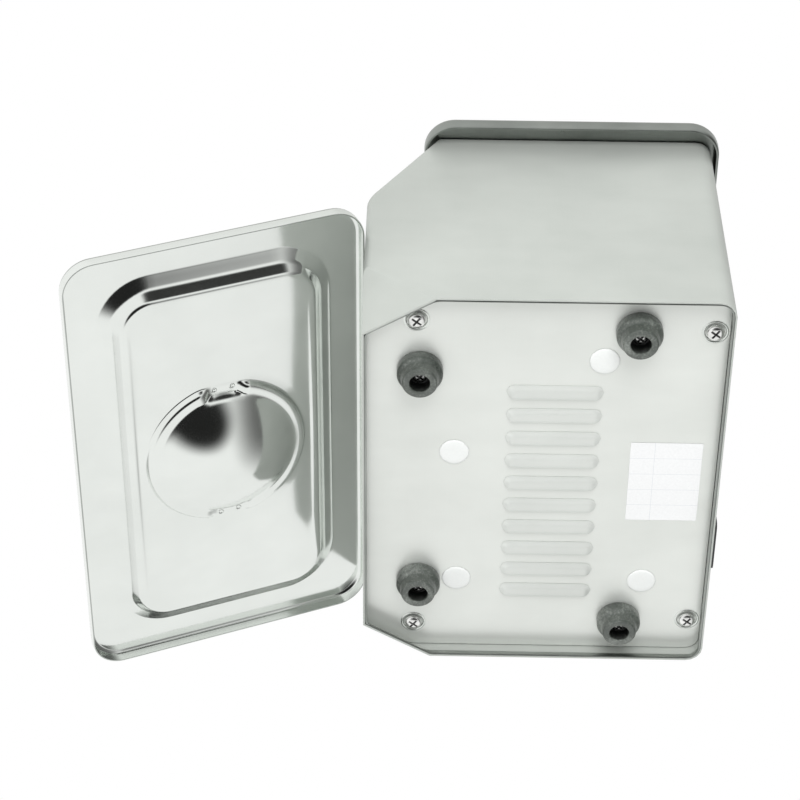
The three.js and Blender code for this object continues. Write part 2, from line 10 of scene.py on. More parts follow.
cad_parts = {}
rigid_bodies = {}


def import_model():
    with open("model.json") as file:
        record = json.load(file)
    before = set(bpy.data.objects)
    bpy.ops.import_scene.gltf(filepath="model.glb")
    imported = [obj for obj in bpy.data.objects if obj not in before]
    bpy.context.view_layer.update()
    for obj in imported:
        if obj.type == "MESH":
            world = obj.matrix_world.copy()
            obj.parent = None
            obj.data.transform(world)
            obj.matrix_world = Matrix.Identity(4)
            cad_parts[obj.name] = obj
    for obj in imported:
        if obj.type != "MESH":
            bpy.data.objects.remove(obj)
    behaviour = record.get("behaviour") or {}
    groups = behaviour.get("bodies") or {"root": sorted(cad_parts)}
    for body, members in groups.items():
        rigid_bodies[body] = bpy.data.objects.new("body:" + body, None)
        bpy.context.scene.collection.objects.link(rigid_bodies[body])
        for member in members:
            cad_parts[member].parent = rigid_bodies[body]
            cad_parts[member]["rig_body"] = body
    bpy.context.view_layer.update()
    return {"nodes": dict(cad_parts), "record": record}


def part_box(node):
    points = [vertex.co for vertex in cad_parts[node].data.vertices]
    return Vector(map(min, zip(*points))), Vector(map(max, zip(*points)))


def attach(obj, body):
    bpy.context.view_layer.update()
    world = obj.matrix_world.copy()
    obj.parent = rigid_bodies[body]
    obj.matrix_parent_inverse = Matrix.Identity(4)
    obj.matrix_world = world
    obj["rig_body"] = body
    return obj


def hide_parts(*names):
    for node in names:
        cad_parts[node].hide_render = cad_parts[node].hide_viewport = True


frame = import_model()
NODES = frame["nodes"]
MM = 0.001

# ---------------------------------------------------------------- places, from the CAD boxes
case_lo, case_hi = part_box("casing")
pan_lo, pan_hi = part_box("pan")
lid_lo, lid_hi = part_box("lid")
plate_lo, plate_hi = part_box("bottom_plate")
CASE_X = (case_lo.x + case_hi.x) / 2
CASE_Y = (case_lo.y + case_hi.y) / 2
PAN_X = (pan_lo.x + pan_hi.x) / 2
PAN_Y = (pan_lo.y + pan_hi.y) / 2
PLATE_UNDER = plate_hi.z - 1.0 * MM

LID_TILT = math.radians(23)
LID_HALF_D = 81 * MM
LID_HEM = 7.5 * MM
LID_PLACE = (
    Matrix.Translation((
        (lid_lo.x + lid_hi.x) / 2,
        case_lo.y - 0.3 * MM - LID_HALF_D * math.cos(LID_TILT) - LID_HEM * math.sin(LID_TILT),
        LID_HALF_D * math.sin(LID_TILT) + LID_HEM * math.cos(LID_TILT),
    ))
    @ Matrix.Rotation(LID_TILT, 4, "X")
)
SLOPE_RISE, SLOPE_RUN = 53.6, 31.6
SLOPE_ANGLE = math.atan2(SLOPE_RISE, SLOPE_RUN)
SLOPE_PLACE = (
    Matrix.Translation((CASE_X, case_lo.y, case_lo.z + 92.4 * MM))
    @ Matrix.Rotation(SLOPE_ANGLE, 4, "X")
)
CONTROL_V = 31 * MM
KNOB_X = 48 * MM
PANEL_T = 0.9


# ---------------------------------------------------------------- materials
def add_node(tree, kind, **values):
    node = tree.nodes.new(kind)
    for key, value in values.items():
        setattr(node, key, value)
    return node


class Nodes:
    """Small helper for building one material's node tree."""

    def __init__(self, name):
        self.material = bpy.data.materials.new(name)
        self.material.use_nodes = True
        self.tree = self.material.node_tree
        self.shader = self.tree.nodes["Principled BSDF"]
        self.coords = self.add("ShaderNodeTexCoord").outputs["Object"]

    def add(self, kind, **values):
        return add_node(self.tree, kind, **values)

    def link(self, a, b):
        self.tree.links.new(a, b)

    def stretched(self, scale):
        mapping = self.add("ShaderNodeMapping")
        mapping.inputs["Scale"].default_value = scale
        self.link(self.coords, mapping.inputs["Vector"])
        return mapping.outputs["Vector"]

    def noise(self, scale, detail=4.0, stretch=(1, 1, 1), roughness=0.55):
        node = self.add("ShaderNodeTexNoise")
        node.inputs["Scale"].default_value = scale
        node.inputs["Detail"].default_value = detail
        node.inputs["Roughness"].default_value = roughness
        self.link(self.stretched(stretch), node.inputs["Vector"])
        return node.outputs["Fac"]

    def ramp(self, value, stops):
        node = self.add("ShaderNodeValToRGB")
        while len(node.color_ramp.elements) < len(stops):
            node.color_ramp.elements.new(0.5)
        for element, (place, colour) in zip(node.color_ramp.elements, stops):
            element.position = place
            element.color = (*colour, 1)
        self.link(value, node.inputs["Fac"])
        return node.outputs["Color"]

    def spread(self, value, low, high):
        node = self.add("ShaderNodeMapRange")
        node.inputs["To Min"].default_value = low
        node.inputs["To Max"].default_value = high
        self.link(value, node.inputs["Value"])
        return node.outputs["Result"]

    def math(self, operation, a, b=None):
        node = self.add("ShaderNodeMath", operation=operation)
        for socket, value in zip(node.inputs, (a, b)):
            if value is None:
                continue
            if isinstance(value, (int, float)):
                socket.default_value = value
            else:
                self.link(value, socket)
        return node.outputs[0]

    def mix(self, factor, a, b):
        node = self.add("ShaderNodeMix", data_type="RGBA")
        for name, value in (("Factor", factor), ("A", a), ("B", b)):
            sockets = [s for s in node.inputs if s.name == name and s.enabled]
            socket = sockets[0]
            if isinstance(value, tuple):
                socket.default_value = (*value, 1)
            elif isinstance(value, (int, float)):
                socket.default_value = value
            else:
                self.link(value, socket)
        return [s for s in node.outputs if s.enabled][0]

    def bump(self, height, strength, distance):
        node = self.add("ShaderNodeBump")
        node.inputs["Strength"].default_value = strength
        node.inputs["Distance"].default_value = distance
        self.link(height, node.inputs["Height"])
        self.link(node.outputs["Normal"], self.shader.inputs["Normal"])

    def set(self, **values):
        for key, value in values.items():
            self.shader.inputs[key.replace("_", " ")].default_value = value


def steel(name, low, high, rough_low, rough_high, grain=(1, 1, 0.02), grain_scale=1400, grain_bump=0.008,
          metal=1.0):
    """Stainless sheet: soft blotches and smears under a faint directional grain."""
    n = Nodes(name)
    streak = n.noise(grain_scale, 3, grain, 0.6)
    cloud = n.noise(16, 3)
    smear = n.noise(60, 5, (1, 0.45, 1))
    tone = n.math("ADD", n.math("MULTIPLY", streak, 0.06), n.math("MULTIPLY", cloud, 0.6))
    tone = n.math("ADD", tone, n.math("MULTIPLY", smear, 0.34))
    n.link(n.ramp(tone, [(0.34, low), (0.66, high)]), n.shader.inputs["Base Color"])
    rough = n.math("ADD", n.math("MULTIPLY", streak, 0.12), n.math("MULTIPLY", smear, 0.88))
    n.link(n.spread(rough, rough_low, rough_high), n.shader.inputs["Roughness"])
    n.set(Metallic=metal)
    n.bump(streak, grain_bump, 0.0002)
    return n.material


def rubber():
    """Moulded rubber with pale dust in random patches; painted shade makes it nearly black in hollows such as deep
    inside the bore, so the tip and the edges stay paler.
    """
    n = Nodes("moulded_rubber")
    grain = n.noise(900, 4)
    dust = n.noise(60, 5)
    tone = n.math("ADD", n.math("MULTIPLY", grain, 0.4), n.math("MULTIPLY", dust, 0.6))
    body = n.ramp(tone, [(0.34, (0.028, 0.034, 0.029)), (0.5, (0.064, 0.073, 0.064)), (0.66, (0.19, 0.205, 0.188))])
    # Painted shade: an ambient-occlusion mask darkens the rubber to near black in hollows such as the bore.
    shade = n.add("ShaderNodeAmbientOcclusion", samples=6, only_local=True)
    shade.inputs["Distance"].default_value = 0.014
    depth = n.ramp(shade.outputs["AO"], [(0.38, (0.0, 0.0, 0.0)), (0.66, (1.0, 1.0, 1.0))])
    n.link(n.mix(depth, (0.004, 0.0045, 0.004), body), n.shader.inputs["Base Color"])
    n.link(n.spread(dust, 0.2, 0.42), n.shader.inputs["Roughness"])
    n.bump(grain, 0.3, 0.0003)
    n.set(Specular_IOR_Level=0.8)
    return n.material


def plastic(name, low, high, rough, grain=1500, strength=0.08, coat=0.0):
    n = Nodes(name)
    fine = n.noise(grain, 3)
    cloud = n.noise(35, 4)
    tone = n.math("ADD", n.math("MULTIPLY", fine, 0.35), n.math("MULTIPLY", cloud, 0.65))
    n.link(n.ramp(tone, [(0.35, low), (0.65, high)]), n.shader.inputs["Base Color"])
    n.link(n.spread(cloud, rough - 0.06, rough + 0.06), n.shader.inputs["Roughness"])
    n.bump(fine, strength, 0.0002)
    n.set(Coat_Weight=coat, Coat_Roughness=0.12)
    return n.material


def plated(name, low, high, rough):
    """Plated or turned small parts: light tool marks and stains."""
    n = Nodes(name)
    marks = n.noise(700, 4, (1, 1, 0.2))
    stain = n.noise(160, 5)
    n.link(n.ramp(stain, [(0.35, low), (0.62, high)]), n.shader.inputs["Base Color"])
    n.link(n.spread(marks, rough - 0.07, rough + 0.09), n.shader.inputs["Roughness"])
    n.set(Metallic=1.0)
    n.bump(marks, 0.08, 0.0002)
    return n.material


def felt():
    n = Nodes("mineral_felt")
    fibre = n.noise(420, 7, (1, 1, 3), 0.7)
    cloud = n.noise(30, 4)
    tone = n.math("ADD", n.math("MULTIPLY", fibre, 0.6), n.math("MULTIPLY", cloud, 0.4))
    n.link(n.ramp(tone, [(0.3, (0.5, 0.45, 0.35)), (0.7, (0.82, 0.78, 0.68))]), n.shader.inputs["Base Color"])
    n.set(Roughness=0.92, Sheen_Weight=0.25)
    n.bump(fibre, 0.6, 0.0006)
    return n.material


def label_paper(lo, hi):
    """White sticker with a ruled blank table; the rules follow the label's own place."""
    n = Nodes("label_paper")
    split = n.add("ShaderNodeSeparateXYZ")
    n.link(n.coords, split.inputs[0])
    fibre = n.noise(800, 5)
    paper = n.ramp(fibre, [(0.3, (0.69, 0.695, 0.70)), (0.7, (0.73, 0.735, 0.74))])

    def line(axis, place, half):
        away = n.math("ABSOLUTE", n.math("SUBTRACT", split.outputs[axis], place))
        return n.math("LESS_THAN", away, half)

    rules = None
    width = hi.x - lo.x
    for share in (0.2, 0.4, 0.6, 0.8):
        one = line("X", lo.x + width * share, 0.00011)
        rules = one if rules is None else n.math("MAXIMUM", rules, one)
    depth = hi.y - lo.y
    rules = n.math("MAXIMUM", rules, line("Y", lo.y + depth * 0.34, 0.00011))
    rules = n.math("MULTIPLY", rules, 0.5)
    n.link(n.mix(rules, paper, (0.42, 0.45, 0.5)), n.shader.inputs["Base Color"])
    n.link(n.spread(fibre, 0.42, 0.55), n.shader.inputs["Roughness"])
    n.bump(fibre, 0.05, 0.0001)
    return n.material


def amber():
    n = Nodes("amber_lens")
    ribs = n.noise(300, 2)
    n.link(n.ramp(ribs, [(0.35, (0.62, 0.22, 0.02)), (0.65, (0.9, 0.45, 0.06))]), n.shader.inputs["Base Color"])
    n.link(n.spread(ribs, 0.08, 0.16), n.shader.inputs["Roughness"])
    n.set(Transmission_Weight=0.25, IOR=1.49, Coat_Weight=0.6, Coat_Roughness=0.05)
    n.bump(ribs, 0.1, 0.0003)
    return n.material


STEEL_CASE = steel("casing_steel", (0.43, 0.453, 0.427), (0.487, 0.51, 0.482), 0.44, 0.5, (1, 1, 0.015), metal=0.35)
STEEL_PLATE = steel("plate_steel", (0.685, 0.705, 0.675), (0.755, 0.775, 0.745), 0.32, 0.38, (0.02, 1, 1), metal=0.6)
# Painted shade: the hoods get a darker copy of the plate steel they are pressed from.
STEEL_HOOD_PAINTED_SHADE = steel("hood_painted_shade", (0.57, 0.59, 0.565), (0.64, 0.66, 0.635), 0.4, 0.46, (0.02, 1, 1), metal=0.35)
STEEL_LID = steel("lid_steel", (0.79, 0.815, 0.79), (0.86, 0.885, 0.86), 0.1, 0.16, (0.03, 1, 1), 900)
STEEL_PAN = steel("pan_steel", (0.70, 0.73, 0.70), (0.80, 0.83, 0.80), 0.17, 0.28, (0.03, 1, 1), 900)
# Painted shade: a darker copy of the pan steel for the rim's underside and hem.
STEEL_HEM_PAINTED_SHADE = steel("pan_hem_painted_shade", (0.20, 0.215, 0.20), (0.36, 0.38, 0.36), 0.24, 0.34, (0.03, 1, 1), 900)
# Painted shade: a darker copy of the casing steel for the folded lip.
STEEL_EDGE_PAINTED_SHADE = steel("lip_fold_painted_shade", (0.26, 0.28, 0.26), (0.42, 0.44, 0.42), 0.26, 0.36, (0.03, 1, 1), 900)
# Painted shade: a darker copy of the lid steel for the lid's rolled edge.
STEEL_ROLL_PAINTED_SHADE = steel("lid_roll_painted_shade", (0.36, 0.38, 0.36), (0.50, 0.52, 0.50), 0.16, 0.24, (0.03, 1, 1), 900)
RUBBER = rubber()
ZINC = plated("zinc_screw", (0.74, 0.74, 0.73), (0.95, 0.95, 0.94), 0.2)
# Painted shade: a darker copy of the zinc for the screws deep in the feet.
ZINC_PAINTED_SHADE = plated("deep_screw_painted_shade", (0.2, 0.2, 0.2), (0.62, 0.62, 0.61), 0.16)
# Painted shade: near-black steel for the faces of the screws' cross recesses.
RECESS_PAINTED_SHADE = plated("screw_recess_painted_shade", (0.03, 0.03, 0.03), (0.12, 0.12, 0.12), 0.3)
BRASS = plated("turned_brass", (0.5, 0.36, 0.13), (0.74, 0.58, 0.28), 0.3)
ALUMINIUM = steel("mill_aluminium", (0.5, 0.51, 0.52), (0.68, 0.69, 0.7), 0.32, 0.46, (0.02, 1, 1), 900, 0.05)
ELEMENT = plated("stained_sheath", (0.16, 0.13, 0.1), (0.36, 0.32, 0.3), 0.4)
WHITE = plastic("white_nylon", (0.65, 0.665, 0.655), (0.70, 0.715, 0.705), 0.42, 700, 0.06)
BLACK = plastic("black_nylon", (0.012, 0.012, 0.013), (0.035, 0.035, 0.037), 0.42, 1300, 0.16)
BLACK_GLOSS = plastic("black_rocker", (0.01, 0.01, 0.011), (0.025, 0.025, 0.026), 0.22, 1300, 0.05, 0.3)
CERAMIC = plastic("steatite", (0.74, 0.7, 0.62), (0.88, 0.85, 0.79), 0.6, 500, 0.2)
PANEL = plastic("panel_enamel", (0.8, 0.805, 0.79), (0.87, 0.875, 0.865), 0.34, 900, 0.05)
INK = plastic("printed_ink", (0.03, 0.032, 0.035), (0.07, 0.072, 0.078), 0.5, 900, 0.03)
FELT = felt()
PAPER = label_paper(*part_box("rating_label"))
AMBER = amber()
SLOT_MATERIALS = {
    "casing_steel": STEEL_CASE, "polished_steel": STEEL_LID, "rubber": RUBBER, "screw_steel": ZINC,
    "white_plastic": WHITE, "paper": PAPER, "aluminium": ALUMINIUM, "element_steel": ELEMENT, "felt": FELT,
    "brass": BRASS, "black_plastic": BLACK, "ceramic": CERAMIC, "panel_white": PANEL, "amber_lens": AMBER,
}
NODE_SLOT = {s["node"]: s["material_slot"] for s in frame["record"]["subparts"]}
for node_name, node in NODES.items():
    node.data.materials.clear()
    node.data.materials.append(SLOT_MATERIALS[NODE_SLOT[node_name]])


# ---------------------------------------------------------------- mesh helpers
def finish_piece(obj, material, body, replaces=(), slot=None, sharp=30):
    """Smooth shading with crisp edges, material, and the frame's bookkeeping."""
    obj.data.materials.clear()
    obj.data.materials.append(material)
    obj.data.shade_smooth()
    obj.data.set_sharp_from_angle(angle=math.radians(sharp))
    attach(obj, body)
    if replaces:
        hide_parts(*replaces)
        slot = slot or NODE_SLOT[replaces[0]]
    return obj


def new_object(name, data):
    obj = bpy.data.objects.new(name, data)
    bpy.context.scene.collection.objects.link(obj)
    return obj


def from_bmesh(name, bm, place=None, recalculate=True):
    """Object from a bmesh; open sheets that already face the right way keep their normals."""
    mesh = bpy.data.meshes.new(name)
    if recalculate:
        bmesh.ops.recalc_face_normals(bm, faces=bm.faces)
    bm.to_mesh(mesh)
    bm.free()
    if place is not None:
        mesh.transform(place)
    return new_object(name, mesh)


def add_sheet(obj, thickness, offset=-1, even=False):
    solid = obj.modifiers.new("sheet", "SOLIDIFY")
    solid.thickness = thickness * MM
    solid.offset = offset
    solid.use_even_offset = even


def add_bevel(obj, width, angle, segments=2):
    bevel = obj.modifiers.new("edge", "BEVEL")
    bevel.width = width * MM
    bevel.segments = segments
    bevel.limit_method = "ANGLE"
    bevel.angle_limit = math.radians(angle)


def apply_modifiers(obj):
    depsgraph = bpy.context.evaluated_depsgraph_get()
    mesh = bpy.data.meshes.new_from_object(obj.evaluated_get(depsgraph))
    obj.modifiers.clear()
    obj.data = mesh


def refined(node, material, width=0.3, segments=2, angle=28, sharp=35):
    """A finer copy of a CAD node: flat faces joined up, edges rounded by a bevel."""
    bm = bmesh.new()
    bm.from_mesh(NODES[node].data)
    bmesh.ops.remove_doubles(bm, verts=bm.verts, dist=1e-6)
    bmesh.ops.dissolve_limit(bm, angle_limit=math.radians(0.6), verts=bm.verts, edges=bm.edges)
    obj = from_bmesh(node + "_fine", bm)
    add_bevel(obj, width, angle, segments)
    apply_modifiers(obj)
    return finish_piece(obj, material, NODES[node]["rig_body"], [node], sharp=sharp)


def bend(a, corner, b, t):
    """Point at share t of the curve from a to b, drawn towards the corner."""
    return a * (1 - t) ** 2 + corner * 2 * t * (1 - t) + b * t ** 2


def rounded_profile(points, steps=4):
    """Points are (values..., reach); each inner corner with a reach becomes a smooth arc of that reach."""
    out = [Vector(points[0][:-1])]
    for before, here, after in zip(points, points[1:], points[2:]):
        p0, p1, p2 = Vector(before[:-1]), Vector(here[:-1]), Vector(after[:-1])
        reach = here[-1]
        if not reach:
            out.append(p1)
            continue
        a = p1 + (p0 - p1) * min(0.49, reach / (p0 - p1).length)
        b = p1 + (p2 - p1) * min(0.49, reach / (p2 - p1).length)
        for i in range(steps + 1):
            out.append(bend(a, p1, b, i / steps))
    out.append(Vector(points[-1][:-1]))
    return out


def turned(name, profile, segments=64, place=None, steps=4):
    """Turned body about Z from (radius, z, reach) in mm, bottom to top on the outside."""
    rings = rounded_profile(profile, steps)
    bm = bmesh.new()
    loops = []
    for r, z in rings:
        if r < 1e-4:
            loops.append([bm.verts.new((0, 0, z * MM))])
            continue
        loops.append([
            bm.verts.new((r * MM * math.cos(2 * math.pi * i / segments),
                          r * MM * math.sin(2 * math.pi * i / segments), z * MM))
            for i in range(segments)
        ])
    for low, high in zip(loops, loops[1:]):
        for i in range(segments):
            j = (i + 1) % segments
            corners = [low[i % len(low)], low[j % len(low)], high[j % len(high)], high[i % len(high)]]
            unique = list(dict.fromkeys(corners))
            if len(unique) > 2:
                bm.faces.new(unique)
    bmesh.ops.remove_doubles(bm, verts=bm.verts, dist=1e-7)
    return from_bmesh(name, bm, place)


CORNER_STEPS = 12
SIDE_STEPS = 17


def rectangle(half_x, half_y, radius):
    """Rounded rectangle, counter-clockwise, from the (+X, +Y) corner; the same count at every size."""
    points = []
    signs = ((1, 1), (-1, 1), (-1, -1), (1, -1))
    for k, (sx, sy) in enumerate(signs):
        cx, cy = sx * (half_x - radius), sy * (half_y - radius)
        for i in range(CORNER_STEPS + 1):
            a = math.radians(90 * k + 90 * i / CORNER_STEPS)
            points.append(Vector((cx + radius * math.cos(a), cy + radius * math.sin(a))))
        nx, ny = signs[(k + 1) % 4]
        start = points[-1]
        a = math.radians(90 * (k + 1))
        end = Vector((nx * (half_x - radius) + radius * math.cos(a), ny * (half_y - radius) + radius * math.sin(a)))
        for i in range(1, SIDE_STEPS + 1):
            points.append(start.lerp(end, i / (SIDE_STEPS + 1)))
    return points


REFERENCE = rectangle(100, 100, 34)
ANGLES = [math.atan2(p.y, p.x) for p in REFERENCE]


def circle(radius):
    return [Vector((radius * math.cos(a), radius * math.sin(a))) for a in ANGLES]


def skin(name, rings, place=None, thickness=0.8, cap=True):
    """Sheet through a stack of rings of 3-D points in mm, then thickened away from its outer face."""
    bm = bmesh.new()
    loops = [[bm.verts.new((x * MM, y * MM, z * MM)) for x, y, z in ring] for ring in rings]
    n = len(loops[0])
    for a, b in zip(loops, loops[1:]):
        for i in range(n):
            j = (i + 1) % n
            bm.faces.new((a[i], a[j], b[j], b[i]))
    if cap:
        middle = sum((v.co for v in loops[0]), Vector()) / n
        centre = bm.verts.new(middle)
        for i in range(n):
            bm.faces.new((centre, loops[0][(i + 1) % n], loops[0][i]))
    obj = from_bmesh(name, bm)
    add_sheet(obj, thickness, even=True)
    apply_modifiers(obj)
    if place is not None:
        obj.data.transform(place)
    return obj


def smooth(t):
    t = max(0.0, min(1.0, t))
    return t * t * (3 - 2 * t)


# ---------------------------------------------------------------- casing
refined("casing", STEEL_CASE, 0.45, 2, 24, 24)


def casing_outline(inset, radius_front, radius_rear, height=0.0):
    """Outline with its cut front corners, which shrink with height above the lip; mm about the casing's middle."""
    w, d = 120 - inset, 94 - inset
    left = 1 - height / 31
    points = []
    for cx, cy, r, start in ((w, d, radius_rear, 0), (-w, d, radius_rear, 90)):
        sx, sy = math.copysign(1, cx), 1
        for i in range(9):
            a = math.radians(start + 90 * i / 8)
            points.append(((cx - sx * r) + r * math.cos(a), (cy - sy * r) + r * math.sin(a)))
    cut_y = -94 + 37 * left + inset * 0.25
    cut_x = 120 - 22 * left - inset * 0.55
    chamfer = [(-w, cut_y), (-cut_x, -d), (cut_x, -d), (w, cut_y)]
    for k, (x, y) in enumerate(chamfer):
        before = chamfer[k - 1] if k else points[-1]
        after = chamfer[k + 1] if k < 3 else points[0]
        p, a, b = Vector((x, y)), Vector(before), Vector(after)
        u = p + (a - p).normalized() * radius_front
        v = p + (b - p).normalized() * radius_front
        for i in range(5):
            q = bend(u, p, v, i / 4)
            points.append((q.x, q.y))
    return points


def make_lip_fold():
    """The sheet's edge folded back inside the lip, as a thin rolled band all round."""
    bm = bmesh.new()
    low, high = 0.05, 2.8
    section = [(1.05, low + 0.5), (1.2, low + 0.15), (1.6, low), (2.0, low + 0.15), (2.15, low + 0.5),
               (2.15, high - 0.2), (1.95, high), (1.05, high)]
    loops = []
    for inset, z in section:
        ring = casing_outline(inset, 3.0, 9.0 - inset, z)
        loops.append([bm.verts.new((CASE_X + x * MM, CASE_Y + y * MM, case_lo.z + z * MM)) for x, y in ring])
    n = len(loops[0])
    for k, loop in enumerate(loops):
        following = loops[(k + 1) % len(loops)]
        for i in range(n):
            j = (i + 1) % n
            bm.faces.new((loop[i], loop[j], following[j], following[i]))
    fold = from_bmesh("casing_lip_fold", bm)
    # The fold gets the darker casing steel, painted shade.
    return finish_piece(fold, STEEL_EDGE_PAINTED_SHADE, "bath", slot="casing_steel")


make_lip_fold()

# ---------------------------------------------------------------- bottom plate with pressed louvres
LOUVRE_COUNT = 10
LOUVRE_PITCH = 14.9
LOUVRE_FIRST = 57.0
LOUVRE_MIDDLE = 5.5
LOUVRE_HALF = 23.5
LOUVRE_WIDTH = 6.6
LOUVRE_RISE = 1.7
SCREWS = [(101, -66.5), (-102.5, -66.5), (96, 85), (-97.5, 85)]
DIMPLE_R, DIMPLE_FADE, DIMPLE_DEPTH = 4.9, 1.7, 0.75
PLATE_HALF_W, PLATE_HALF_D, PLATE_STEP = 118.7, 92.7, 1.9


def grid_lines(low, high, step, extra):
    count = int(round((high - low) / step))
    lines = [low + (high - low) * i / count for i in range(count + 1)]
    lines = [v for v in lines if all(abs(v - e) > step * 0.45 for e in extra)]
    return sorted(lines + list(extra))


def make_plate():
    """Underside sheet: shallow dimples round the screws, and slots under the hoods."""
    xs_extra = []
    for k in range(LOUVRE_COUNT):
        x = LOUVRE_FIRST - k * LOUVRE_PITCH
        xs_extra += [x - LOUVRE_WIDTH / 2, x + LOUVRE_WIDTH / 2]
    xs = grid_lines(-PLATE_HALF_W, PLATE_HALF_W, PLATE_STEP, xs_extra)
    ys = grid_lines(-PLATE_HALF_D, PLATE_HALF_D, PLATE_STEP, [
        LOUVRE_MIDDLE - LOUVRE_HALF, LOUVRE_MIDDLE + LOUVRE_HALF])

    def height(x, y):
        z = 0.0
        for sx, sy in SCREWS:
            away = math.hypot(x - sx, y - sy)
            z += DIMPLE_DEPTH * (1 - smooth((away - DIMPLE_R) / DIMPLE_FADE))
        return z

    def in_slot(x0, x1, y0, y1):
        if y0 < LOUVRE_MIDDLE - LOUVRE_HALF - 0.01 or y1 > LOUVRE_MIDDLE + LOUVRE_HALF + 0.01:
            return False
        middle = (x0 + x1) / 2
        return any(abs(middle - (LOUVRE_FIRST - k * LOUVRE_PITCH)) < LOUVRE_WIDTH / 2 for k in range(LOUVRE_COUNT))

    bm = bmesh.new()
    table = {}
    for i, x in enumerate(xs):
        for j, y in enumerate(ys):
            table[i, j] = bm.verts.new((x, y, height(x, y)))
    for i in range(len(xs) - 1):
        for j in range(len(ys) - 1):
            if not in_slot(xs[i], xs[i + 1], ys[j], ys[j + 1]):
                bm.faces.new((table[i, j], table[i, j + 1], table[i + 1, j + 1], table[i + 1, j]))
    outline = casing_outline(1.6, 3.0, 7.4, 9.5)  # at the plate's height above the lip
    for k, (x, y) in enumerate(outline):
        nx, ny = outline[(k + 1) % len(outline)]
        edge = Vector((nx - x, ny - y, 0))
        if edge.length < 1e-6:
            continue
        normal = Vector((edge.y, -edge.x, 0)).normalized()
        geometry = list(bm.verts) + list(bm.edges) + list(bm.faces)
        bmesh.ops.bisect_plane(bm, geom=geometry, plane_co=Vector((x, y, 0)), plane_no=normal, clear_outer=True)
    bmesh.ops.scale(bm, vec=(MM, MM, MM), verts=bm.verts)
    bmesh.ops.translate(bm, vec=(CASE_X, CASE_Y, PLATE_UNDER), verts=bm.verts)
    plate = from_bmesh("bottom_plate_sheet", bm, recalculate=False)
    add_sheet(plate, 0.9)
    apply_modifiers(plate)
    return finish_piece(plate, STEEL_PLATE, "bath", ["bottom_plate"], sharp=50)


def make_louvre(k):
    """One pressed hood: rises from its +X side, open on its -X side, with rounded ends."""
    x0 = LOUVRE_FIRST - k * LOUVRE_PITCH + LOUVRE_WIDTH / 2 + 0.8
    width = LOUVRE_WIDTH + 1.3
    across, along = 12, 44
    reach = LOUVRE_HALF + 1.6
    bm = bmesh.new()
    rows = []
    for j in range(along + 1):
        y = -reach + 2 * reach * j / along
        end = smooth((reach - abs(y)) / 4.0)
        left = min(1.0, (reach - abs(y)) / 4.2)
        inward = 0.5 * width * (1 - math.sqrt(max(0.0, 1 - (1 - left) ** 2)))
        row = []
        for i in range(across + 1):
            t = i / across
            rise = LOUVRE_RISE * end * (0.93 * smooth(t / 0.42) + 0.07 * t)
            curl = 0.5 * max(0.0, t - 0.85) / 0.15
            x = x0 - inward - (width - 2 * inward) * t
            row.append(bm.verts.new((
                CASE_X + x * MM, CASE_Y + (LOUVRE_MIDDLE + y) * MM,
                PLATE_UNDER - (0.04 + rise - curl * end * 0.5) * MM)))
        rows.append(row)
    for a, b in zip(rows, rows[1:]):
        for i in range(across):
            bm.faces.new((a[i], a[i + 1], b[i + 1], b[i]))
    hood = from_bmesh(f"louvre_{k + 1}", bm, recalculate=False)
    add_sheet(hood, 0.5, 0)
    apply_modifiers(hood)
    # The hood's darker steel is painted shade.
    finish_piece(hood, STEEL_HOOD_PAINTED_SHADE, "bath", slot="casing_steel", sharp=50)


make_plate()
for louvre_number in range(LOUVRE_COUNT):
    make_louvre(louvre_number)


# ---------------------------------------------------------------- screws, feet, plugs
def phillips_screw(name, node, radius, body_top, body_z, drive=0.52, shank=1.6, shank_top=6.0, metal=ZINC):
    """Pan-head screw pointing up, its cross recess cut into the head's underside and coloured with painted shade."""
    lo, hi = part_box(node)
    centre = Vector(((lo.x + hi.x) / 2, (lo.y + hi.y) / 2, 0))
    head = turned(name, [
        (0, 0, 0), (radius * 0.62, 0.06, 0.8), (radius * 0.93, 0.75, 0.9), (radius, body_top - 0.35, 0.3),
        (radius - 0.15, body_top, 0.15), (shank, body_top, 0), (shank, shank_top, 0), (0, shank_top, 0),
    ], 48)
    cutter = bmesh.new()
    reach = radius * 0.62
    for angle in (0, 90):
        block = bmesh.ops.create_cube(cutter, size=1.0)
        turn = Matrix.Rotation(math.radians(angle + 37), 4, "Z")
        size = Matrix.Diagonal((2 * reach * MM, 2 * drive * MM, 2.6 * MM, 1))
        bmesh.ops.transform(cutter, matrix=turn @ size, verts=block["verts"])
    tool = from_bmesh(name + "_tool", cutter)
    cut = head.modifiers.new("recess", "BOOLEAN")
    cut.operation = "DIFFERENCE"
    cut.solver = "EXACT"
    cut.use_self = True
    cut.object = tool
    add_bevel(head, 0.12, 40)
    apply_modifiers(head)
    bpy.data.objects.remove(tool)
    # Faces inside the cross recess, which get painted shade below.
    recess_painted_shade_faces = [face.index for face in head.data.polygons
            if face.center.xy.length < reach * MM and 0.3 * MM < face.center.z < 1.6 * MM]
    head.data.transform(Matrix.Translation(centre + Vector((0, 0, body_z))))
    finish_piece(head, metal, "bath", [node], sharp=32)
    head.data.materials.append(RECESS_PAINTED_SHADE)
    for index in recess_painted_shade_faces:
        head.data.polygons[index].material_index = 1


